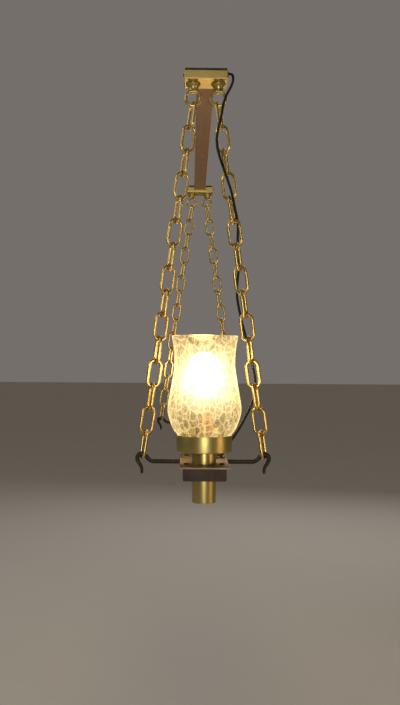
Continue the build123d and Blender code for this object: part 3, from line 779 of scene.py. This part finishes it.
screwSizes = {"headRadius": 0.004, "headHeight": 0.0022, "slotWidth": 0.001, "spacing": 0.052,
              "pastLamp": 0.017, "besideHook": 0.014, "domeDrop": 0.42, "domePower": 3.0,
              "slotRaise": 0.62, "slotReach": 3.0, "points": 28, "rings": 4, "seed": 5}


def makeScrewTree():
    # pan-head screws with a straight slot, one at each given point of a grid
    tree, link, into, out = geometryTree("panScrews", [
        ("Head Radius", "Float", 0.004), ("Head Height", "Float", 0.0022),
        ("Slot Width", "Float", 0.001), ("Seed", "Int", 5),
        ("Places", "Object", None), ("Material", "Material", None)])
    node = tree.nodes.new
    head = node("GeometryNodeMeshCylinder")
    head.inputs["Vertices"].default_value = screwSizes["points"]
    head.inputs["Side Segments"].default_value = screwSizes["rings"]
    head.inputs["Fill Segments"].default_value = screwSizes["rings"]
    link(into.outputs["Head Radius"], head.inputs["Radius"])
    link(into.outputs["Head Height"], head.inputs["Depth"])
    where = node("GeometryNodeInputPosition")
    parts = node("ShaderNodeSeparateXYZ")
    link(where.outputs[0], parts.inputs[0])
    reach = math2(tree, "SQRT", plus(tree,
                  times(tree, parts.outputs["X"], parts.outputs["X"]),
                  times(tree, parts.outputs["Y"], parts.outputs["Y"])))
    share = math2(tree, "DIVIDE", reach, into.outputs["Head Radius"])
    drop = times(tree, math2(tree, "POWER", share, screwSizes["domePower"]),
                 -screwSizes["domeDrop"])
    isTop = math2(tree, "GREATER_THAN", parts.outputs["Z"], 0.0)
    sink = times(tree, times(tree, drop, isTop),
                 into.outputs["Head Height"])
    domed = node("GeometryNodeSetPosition")
    link(head.outputs["Mesh"], domed.inputs["Geometry"])
    link(combine(tree, "Z", sink), domed.inputs["Offset"])
    slot = node("GeometryNodeMeshCube")
    slotSize = node("ShaderNodeCombineXYZ")
    link(times(tree, into.outputs["Head Radius"], screwSizes["slotReach"]), slotSize.inputs["X"])
    link(into.outputs["Slot Width"], slotSize.inputs["Y"])
    link(into.outputs["Head Height"], slotSize.inputs["Z"])
    link(slotSize.outputs[0], slot.inputs["Size"])
    raised = node("GeometryNodeTransform")
    lift = combine(tree, "Z", times(tree, into.outputs["Head Height"], screwSizes["slotRaise"]))
    link(slot.outputs["Mesh"], raised.inputs["Geometry"])
    link(lift, raised.inputs["Translation"])
    cut = node("GeometryNodeMeshBoolean")
    cut.operation = "DIFFERENCE"
    link(domed.outputs[0], cut.inputs["Mesh 1"])
    link(raised.outputs[0], cut.inputs["Mesh 2"])
    places = node("GeometryNodeObjectInfo")
    link(into.outputs["Places"], places.inputs["Object"])
    spin = combine(tree, "Z", randomValue(tree, 0.0, math.pi, into.outputs["Seed"]))
    copies = node("GeometryNodeInstanceOnPoints")
    link(places.outputs["Geometry"], copies.inputs["Points"])
    link(cut.outputs[0], copies.inputs["Instance"])
    link(spin, copies.inputs["Rotation"])
    real = node("GeometryNodeRealizeInstances")
    link(copies.outputs[0], real.inputs[0])
    return paintAndEnd(tree, real.outputs[0], into.outputs["Material"], out)


def makePlateScrews():
    pitch = lampYs[1] - lampYs[0]
    ys = [lampYs[0] - screwSizes["pastLamp"], hangerY + screwSizes["besideHook"],
          -1.5 * pitch, -0.5 * pitch]
    points = [(side * screwSizes["spacing"] / 2, end * y,
               plateNode[1][2] + screwSizes["headHeight"] / 2)
              for side in (-1, 1) for end in (-1, 1) for y in ys]
    spots = bpy.data.meshes.new("screwSpots")
    spots.from_pydata(points, [], [])
    holder = bpy.data.objects.new("screwSpots", spots)
    toScene(holder)
    mesh = grow("plateScrewHeads", makeScrewTree(), {
        "Head Radius": screwSizes["headRadius"], "Head Height": screwSizes["headHeight"],
        "Slot Width": screwSizes["slotWidth"], "Seed": screwSizes["seed"], "Places": holder,
        "Material": darkIron})
    bpy.data.objects.remove(holder)
    finishPiece("plateScrewHeads", mesh, darkIron, "beam", ["plate_screws"])


makePlateScrews()
print("screws made")


# Crossbars

rodSizes = {"radius": 0.0035, "rise": 0.0118, "tipShare": 0.66, "taperShare": 0.10,
            "flatXs": (0.030, 0.070), "riseStart": -0.0122,
            "hook": ((-0.0036, 0.0), (0.0064, 0.0), (0.0092, -0.0100), (-0.0004, -0.0225),
                     (0.0010, -0.0290))}


def makeCrossbars():
    crest = chainSizes["crestSpacing"] / 2
    flatZ = crestZ - rodSizes["rise"]
    right = [(x, flatZ) for x in (*rodSizes["flatXs"], crest + rodSizes["riseStart"])]
    right += [(crest + across, crestZ + up) for across, up in rodSizes["hook"]]
    for end, y in (("front", hangerY), ("rear", -hangerY)):
        route = [(-x, y, z) for x, z in reversed(right)] + [(x, y, z) for x, z in right]
        line = nurbsPath(route, 14)

        def radiusAt(share):
            fromTip = min(share, 1 - share) / rodSizes["taperShare"]
            taper = rodSizes["tipShare"] + (1 - rodSizes["tipShare"]) * min(1, fromTip)
            return rodSizes["radius"] * taper

        mesh = sweptMesh(f"{end}_hook_rod", line, radiusAt, 20, domed=3)
        finishPiece(f"{end}_hook_rod", mesh, darkIron, "beam",
                    [f"{end}_crossbar"], sharpAngle=60)


makeCrossbars()
print("crossbars made")


# Eyes and their bell cups

eyeSizes = {"mean": 0.0115, "wire": 0.0025, "drop": 0.024, "around": 64, "wirePoints": 16,
            "cupTop": 0.0115, "cupHeight": 0.014, "seam": 0.0001, "rim": 0.0006,
            "rimRound": 0.0005, "foot": 0.0080, "footRound": 0.0007}
# radius and depth below the block, then radius and height above the foot
bellWaist = ((0.0115, 0.0017), (0.0100, 0.0034), (0.0084, 0.0056), (0.0074, 0.0092))
bellFoot = ((0.0076, 0.0022), (0.0080, 0.0012))


def ringMesh(name, centre):
    made = bmesh.new()
    rings = []
    for c, s in circle(eyeSizes["around"]):
        out = Vector((s, 0, c))
        middle = centre + eyeSizes["mean"] * out
        rings.append([made.verts.new(middle + eyeSizes["wire"] * (a * out + b * Vector((0, 1, 0))))
                      for a, b in circle(eyeSizes["wirePoints"])])
    for low, high in zip(rings, rings[1:] + rings[:1]):
        joinRings(made, low, high)
    return meshOf(made, name)


def makeEyes():
    under = blockNode[0][2]
    foot = under - eyeSizes["cupHeight"]
    bell = smoothOutline([(radius, under - depth) for radius, depth in bellWaist]
                         + [(radius, foot + height) for radius, height in bellFoot], 5)
    roof = under - eyeSizes["seam"]
    outline = ([(0.0, roof), (eyeSizes["cupTop"] - eyeSizes["rimRound"], roof),
                (eyeSizes["cupTop"], under - eyeSizes["rim"])] + bell
               + [(eyeSizes["foot"] - eyeSizes["footRound"], foot), (0.0, foot)])
    for end, y in (("front", hangerY), ("rear", -hangerY)):
        for side, hand in (("left", -1), ("right", 1)):
            x = hand * eyeX
            ring = ringMesh(f"{end}_{side}_ring", Vector((x, y, under - eyeSizes["drop"])))
            finishPiece(f"{end}_{side}_ring", ring, chainBrass, "root",
                        [f"{end}_{side}_eye"], sharpAngle=60)
            mesh = turnedMesh(f"{end}_{side}_bell", outline, [(x, y)], False, 48)
            finishPiece(f"{end}_{side}_bell", mesh, turnedBrass, "root",
                        [f"{end}_{side}_eye_cup"])


makeEyes()
print("eyes made")


# Lamps

pipeSizes = {"lampColumns": {"radius": 0.0175, "wall": 0.0015, "edge": 0.0006, "segments": 96},
             "candleTubes": {"radius": 0.014, "wall": 0.0012, "edge": 0.0004, "segments": 64}}
gallerySizes = {"radius": 0.041, "wall": 0.0012, "floor": 0.002, "hole": 0.00505,
                "edges": [0, 0, 0.0010, 0.0004, 0.0004, 0.001, 0]}
glassSizes = {"wall": 0.003, "seat": 0.0392, "rimRound": 0.0006}
# radius and height above the gallery's rim
glassProfile = ((0.0392, -0.004), (0.0402, 0.001), (0.0477, 0.012), (0.0545, 0.036),
                (0.0510, 0.062), (0.0458, 0.092), (0.0446, 0.108), (0.0458, 0.126), (0.0490, 0.146))
bulbSizes = {"radius": 0.024, "cap": 0.007, "capLength": 0.024, "seam": 0.001, "threads": 6,
             "threadFrom": 0.004, "threadRoom": 0.006, "valley": 0.0009, "ridge": 0.0001,
             "belowNeck": 0.0008, "collar": 0.0004, "tip": (0.0030, 0.0010, 0.003)}
# radius and height above the cap
bulbNeck = ((0.0085, 0.001), (0.0110, 0.006), (0.0145, 0.016))
bulbShoulder = (0.93, 0.5)


def makePipes(name, node, material, replaced):
    sizes = pipeSizes[name]
    low, high = node[0][2], node[1][2]
    outer, inner = sizes["radius"], sizes["radius"] - sizes["wall"]
    outline = softened([(inner, (low + high) / 2), (inner, low), (outer, low),
                        (outer, high), (inner, high), (inner, (low + high) / 2)], sizes["edge"])
    mesh = turnedMesh(name, outline[:-1], [(0, y) for y in lampYs], True, sizes["segments"])
    finishPiece(name, mesh, material, "beam", [replaced])


def makeGallery(number, y):
    low, high = galleryNode[0][2], galleryNode[1][2]
    outer = gallerySizes["radius"]
    inner = outer - gallerySizes["wall"]
    floor = low + gallerySizes["floor"]
    outline = softened([(gallerySizes["hole"], floor), (gallerySizes["hole"], low), (outer, low),
                        (outer, high), (inner, high), (inner, floor),
                        (gallerySizes["hole"], floor)], gallerySizes["edges"])
    mesh = turnedMesh(f"brassCup_{number}", outline[:-1], [(0, y)], True, 112)
    finishPiece(f"brassCup_{number}", mesh, turnedBrass, "beam",
                [f"lamp_{number}_gallery"])


def glassWall(inset):
    top = galleryNode[1][2]
    return smoothOutline([(radius - inset, top + height) for radius, height in glassProfile], 7)


def makeShade(number, y):
    low = shadeNode[0][2]
    outer = glassWall(0)
    inner = glassWall(glassSizes["wall"])
    (rimOuter, rimTop), rimInner, edge = outer[-1], inner[-1][0], glassSizes["rimRound"]
    lip = [(rimOuter, rimTop - edge), (rimOuter - edge, rimTop), (rimInner + edge, rimTop),
           (rimInner, rimTop - edge)]
    outline = ([(glassSizes["seat"], low)] + outer[:-1] + lip + list(reversed(inner[:-1]))
               + [(glassSizes["seat"] - glassSizes["wall"], low)])
    mesh = turnedMesh(f"hurricaneGlass_{number}", outline, [(0, y)], True, 96)
    finishPiece(f"hurricaneGlass_{number}", mesh, crackleGlass, f"shade_{number}",
                [f"lamp_{number}_shade"], sharpAngle=70)


def makeBulb(number, y):
    low, high = bulbNode[0][2], bulbNode[1][2]
    radius, cap, seam = bulbSizes["radius"], bulbSizes["cap"], bulbSizes["seam"]
    ball = high - radius
    capTop = low + bulbSizes["capLength"]
    neck = smoothOutline([(wide, capTop + up) for wide, up in bulbNeck]
                         + [(radius * bulbShoulder[0], ball - radius * bulbShoulder[1]),
                            (radius, ball)], 6)
    dome = [(radius * math.cos(a), ball + radius * math.sin(a))
            for a in [math.pi / 2 * k / 12 for k in range(1, 12)]]
    glass = turnedMesh(f"bulbGlass_{number}", [(0.0, capTop + seam)] + neck + dome + [(0.0, high)],
                       [(0, y)], False, 48)
    finishPiece(f"bulbGlass_{number}", glass, litBulb, f"bulb_{number}",
                [f"lamp_{number}_bulb"], sharpAngle=60)
    inset, shoulder, up = bulbSizes["tip"]
    thread = [(0.0, low), (cap - inset, low), (cap - shoulder, low + up)]
    pitch = (bulbSizes["capLength"] - bulbSizes["threadRoom"]) / bulbSizes["threads"]
    for turn in range(bulbSizes["threads"]):
        base = low + bulbSizes["threadFrom"] + turn * pitch
        thread += [(cap - bulbSizes["valley"], base), (cap - bulbSizes["ridge"], base + pitch / 2)]
    top = capTop + bulbSizes["belowNeck"]
    thread += [(cap - bulbSizes["collar"], top), (0.0, top)]
    mesh = turnedMesh(f"bulbCap_{number}", thread, [(0, y)], False, 32)
    finishPiece(f"bulbCap_{number}", mesh, zincSteel, f"bulb_{number}", sharpAngle=50)


makePipes("lampColumns", tubeNode, turnedBrass, "lamp_tubes")
makePipes("candleTubes", sleeveNode, copperSleeve, "candle_sleeves")
for number, y in enumerate(lampYs, 1):
    makeGallery(number, y)
    makeShade(number, y)
    makeBulb(number, y)
print("lamps made")


# Supply cable

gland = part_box("cable_gland")
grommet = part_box("beam_grommet")
cableSizes = {"radius": 0.002, "gap": 0.0002, "bendFrom": -0.012, "bendBelowEye": 0.030}


def makeCable():
    glandMouth = (gland[1][0] + cableSizes["gap"], (gland[0][1] + gland[1][1]) / 2,
                  (gland[0][2] + gland[1][2]) / 2)
    grommetMouth = ((grommet[0][0] + grommet[1][0]) / 2, (grommet[0][1] + grommet[1][1]) / 2,
                    grommet[1][2] + cableSizes["gap"])
    route = [glandMouth, (0.0399, -0.4592, -0.0076), (0.0423, -0.459, -0.011),
             (0.0424, -0.4583, -0.0164), (0.041, -0.4571, -0.0226), (0.0376, -0.4549, -0.0296),
             (0.0329, -0.4513, -0.0367), (0.0289, -0.4512, -0.0473), (0.0264, -0.4521, -0.0585),
             (0.0249, -0.4542, -0.0699), (0.0224, -0.4543, -0.0817), (0.0194, -0.4529, -0.0938),
             (0.0174, -0.4507, -0.1063), (0.0182, -0.4506, -0.1197), (0.0215, -0.4518, -0.1333),
             (0.0257, -0.4541, -0.1467), (0.0304, -0.4544, -0.1598), (0.0354, -0.4524, -0.1729),
             (0.0402, -0.45, -0.1863), (0.0439, -0.4468, -0.2), (0.0471, -0.4426, -0.2144),
             (0.0511, -0.4382, -0.2287), (0.0533, -0.434, -0.2448), (0.0525, -0.4283, -0.2619),
             (0.0542, -0.4253, -0.2778), (0.0554, -0.4251, -0.2932), (0.055, -0.4269, -0.3082),
             (0.0534, -0.4289, -0.323), (0.0521, -0.431, -0.3379), (0.0519, -0.4321, -0.3528),
             (0.0541, -0.4325, -0.3671), (0.0571, -0.432, -0.3808), (0.06, -0.4314, -0.3944),
             (0.0639, -0.4304, -0.4079), (0.0677, -0.4288, -0.4215), (0.0708, -0.4269, -0.4355),
             (0.0742, -0.4265, -0.4491), (0.0775, -0.4273, -0.4623), (0.0809, -0.4283, -0.4756),
             (0.0827, -0.4267, -0.4895), (0.0828, -0.426, -0.5035), (0.0801, -0.4272, -0.5166),
             (0.0749, -0.4312, -0.5293), (0.068, -0.4353, -0.5422), (0.061, -0.4397, -0.5555),
             (0.0533, -0.4441, -0.5679), (0.0444, -0.4487, -0.5799), (0.0349, -0.4533, -0.5922),
             grommetMouth]
    line = nurbsPath(route, 6)
    mesh = sweptMesh("supplyLead", line, lambda share: cableSizes["radius"], 14)
    lead = finishPiece("supplyLead", mesh, cableSheath, None,
                       ["supply_cable"], sharpAngle=60)
    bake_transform(lead)


makeCable()
print("cable made")


# Finishes of the nodes that stay

nodeLooks = [
    (blockBrass, ["front_ceiling_block", "rear_ceiling_block"]),
    (blackSteel, ["front_backplate", "rear_backplate"]),
    (walnutBar, ["ceiling_bar"]),
    (zincSteel, ["bar_dowels", "eye_nuts", "threaded_nipples", "lower_lock_nuts",
                 "upper_lock_nuts"]),
    (darkIron, ["side_screws"]),
    (turnedBrass, ["tube_caps"]),
    (plateBronze, ["beam_plate"]),
    (beamBrown, ["beam_channel", "front_end_cap", "rear_end_cap"]),
    (holderPlastic, ["lampholders", "terminal_block"]),
    (blackPlastic, ["cable_gland", "beam_grommet"]),
    (cableSheath, ["beam_lead"]),
]
for material, nodes in nodeLooks:
    for node in nodes:
        shown = frame["nodes"][node]
        for held in shown.material_slots:
            held.material = material
        if not shown.material_slots:
            shown.data.materials.append(material)
print("finishes given")


# Floor, light and camera

stageSizes = {"floorSide": 60.0, "floorDrop": 0.55,
              "around": (0.125, 0.110, 0.090), "behind": (0.175, 0.160, 0.145)}


def makeStage():
    low = cadBox[0][2] - stageSizes["floorDrop"]
    half = stageSizes["floorSide"] / 2
    mesh = bpy.data.meshes.new("studioFloor")
    mesh.from_pydata([(-half, -half, low), (half, -half, low), (half, half, low),
                      (-half, half, low)], [], [(0, 1, 2, 3)])
    material, tree, link, shader, vector = startMaterial("paleFloor")
    tone = add(tree, "TexNoise", {"Scale": 3.0, "Detail": 3.0})
    link(vector, tone.inputs["Vector"])
    link(mixColour(tree, tone.outputs["Fac"], (0.80, 0.78, 0.76), (0.84, 0.82, 0.80)),
         shader.inputs["Base Color"])
    shader.inputs["Roughness"].default_value = 0.9
    mesh.materials.append(material)
    floor = bpy.data.objects.new("studioFloor", mesh)
    toScene(floor)
    world = bpy.data.worlds.new("studio")
    world.use_nodes = True
    sky = world.node_tree.nodes["Background"]
    seen = add(world.node_tree, "LightPath").outputs["Is Camera Ray"]
    world.node_tree.links.new(mixColour(world.node_tree, seen, stageSizes["around"],
                                        stageSizes["behind"]), sky.inputs["Color"])
    bpy.context.scene.world = world


def addLight(name, spot, target, size, power, colour):
    data = bpy.data.lights.new(name, "AREA")
    data.shape = "RECTANGLE"
    data.size, data.size_y = size
    data.energy = power
    data.color = colour
    light = bpy.data.objects.new(name, data)
    light.location = spot
    light.rotation_euler = (Vector(target) - Vector(spot)).to_track_quat("-Z", "Y").to_euler()
    toScene(light)


cameraSizes = {"lens": 43.4, "sensor": 36.0, "clip": (0.01, 100.0),
               "location": (-0.0219, -1.7825, -0.460), "yaw": -0.67, "pitch": 0.71, "roll": 0.42}


def makeCamera():
    data = bpy.data.cameras.new("camera")
    data.lens = cameraSizes["lens"]
    data.sensor_width = cameraSizes["sensor"]
    data.clip_start, data.clip_end = cameraSizes["clip"]
    camera = bpy.data.objects.new("camera", data)
    camera.location = cameraSizes["location"]
    yaw, pitch, roll = (math.radians(cameraSizes[key]) for key in ("yaw", "pitch", "roll"))
    aim = Matrix.Rotation(yaw, 3, "Z") @ Matrix.Rotation(math.pi / 2 + pitch, 3, "X")
    camera.rotation_euler = (aim @ Matrix.Rotation(roll, 3, "Z")).to_euler()
    toScene(camera)
    bpy.context.scene.camera = camera


makeStage()
addLight("frontPanel", (0.0, -4.2, -0.75), (0, 0, -0.5), (0.85, 1.9), 44.0, (1.0, 0.97, 0.84))
addLight("sidePanel", (-2.4, -0.8, 0.9), (0, 0, -0.4), (1.2, 1.8), 14.0, (1.0, 0.96, 0.90))
addLight("warmPanel", (2.2, -1.4, -0.9), (0, 0, -0.4), (0.8, 1.4), 9.0, (1.0, 0.66, 0.36))
addLight("backPanel", (0.6, 2.6, 0.7), (0, 0, -0.4), (1.6, 1.2), 12.0, (1.0, 0.92, 0.82))
makeCamera()
bpy.context.scene.view_settings.view_transform = "Standard"
print("stage made")
